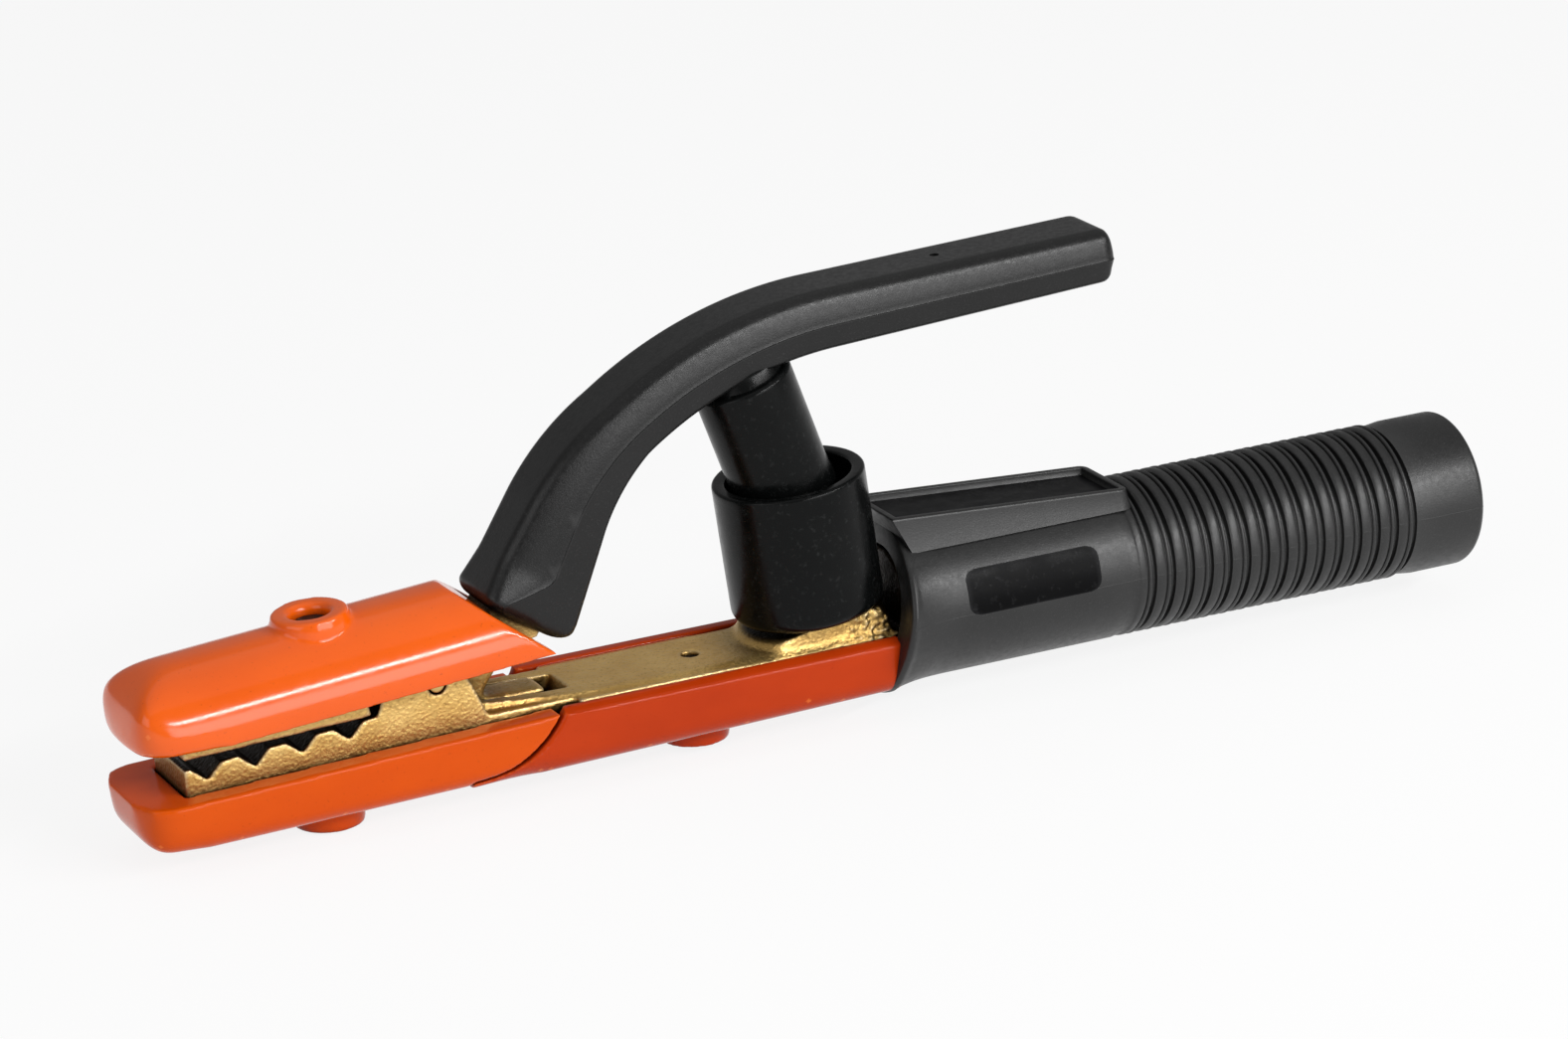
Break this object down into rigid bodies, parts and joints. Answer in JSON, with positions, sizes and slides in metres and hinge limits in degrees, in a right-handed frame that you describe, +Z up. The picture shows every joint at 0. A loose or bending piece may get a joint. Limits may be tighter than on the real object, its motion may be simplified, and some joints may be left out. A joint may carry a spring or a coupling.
{
  "type": "electrode holder",
  "caption": "Hand-held welding electrode holder with toothed brass jaws, orange tip insulators, a sprung black lever and a ribbed tubular handle.",
  "frame": {"origin": "centre of the cable mouth at the rear end of the handle", "axes": "X along the handle from the jaws to the cable mouth, Z up towards the lever, Y across to the left"},
  "size_m": [0.2908, 0.037, 0.0912],
  "materials": {
    "cast_brass": "as-cast, grainy",
    "steel": "zinc plated",
    "orange_insulator": "glossy moulded",
    "black_insulator": "glossy moulded",
    "lever_plastic": "satin with fine grain",
    "handle_plastic": "matt with fine grain",
    "copper": "bare sheet"
  },
  "bodies": {
    "body": {"body_casting": "cast_brass", "pivot_pin": "steel", "lower_tip_insulator": "orange_insulator", "lower_tip_screw": "steel", "body_insulator": "orange_insulator", "body_insulator_screw": "steel", "lower_spring_cup": "black_insulator", "lower_spring_washer": "steel", "main_spring": "steel", "handle": "handle_plastic", "handle_screw": "steel", "front_set_screw": "steel", "rear_set_screw": "steel", "cable_shim": "copper"},
    "lever": {"lever_casting": "cast_brass", "lever_sleeve": "lever_plastic", "sleeve_pin": "steel", "upper_tip_insulator": "orange_insulator", "upper_tip_screw": "steel", "upper_spring_cup": "black_insulator", "upper_spring_washer": "steel"}
  },
  "joints": [
    {"name": "lever_pivot", "type": "hinge", "parent": "body", "child": "lever", "pos_m": [-0.2295, 0, 0.00555], "axis": [0, 1, 0], "range_deg": [0, 11], "stiffness_Nm_per_rad": 25.6, "springref_deg": -11.46, "deforming": ["main_spring"]}
  ]
}
